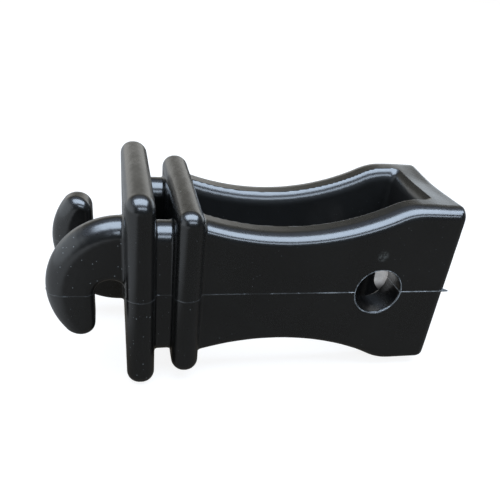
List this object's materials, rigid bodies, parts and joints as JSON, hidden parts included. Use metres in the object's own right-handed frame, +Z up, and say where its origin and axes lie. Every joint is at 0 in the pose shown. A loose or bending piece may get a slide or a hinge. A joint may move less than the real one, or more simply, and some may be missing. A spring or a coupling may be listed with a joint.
{
  "type": "fence insulator",
  "caption": "Black moulded fence insulator: a waisted loop body with a cross bore, flanges and opposed hook claws that twist onto a rod.",
  "frame": {"origin": "centre of the cross bore, midway between the outer faces of the side walls and on the mould's parting plane", "axes": "+X along the body, from the claws towards the end wall; +Y along the cross bore, from the front side wall to the rear one; +Z up, in the direction the mould opens"},
  "size_m": [0.1018, 0.0436, 0.0498],
  "materials": {
    "black_plastic": "satin as moulded, black polyethylene"
  },
  "bodies": {
    "root": {"front_claw": "black_plastic", "rear_claw": "black_plastic", "outer_flange": "black_plastic", "front_neck": "black_plastic", "rear_neck": "black_plastic", "inner_flange": "black_plastic", "front_side_wall": "black_plastic", "rear_side_wall": "black_plastic", "end_wall": "black_plastic"}
  },
  "joints": []
}
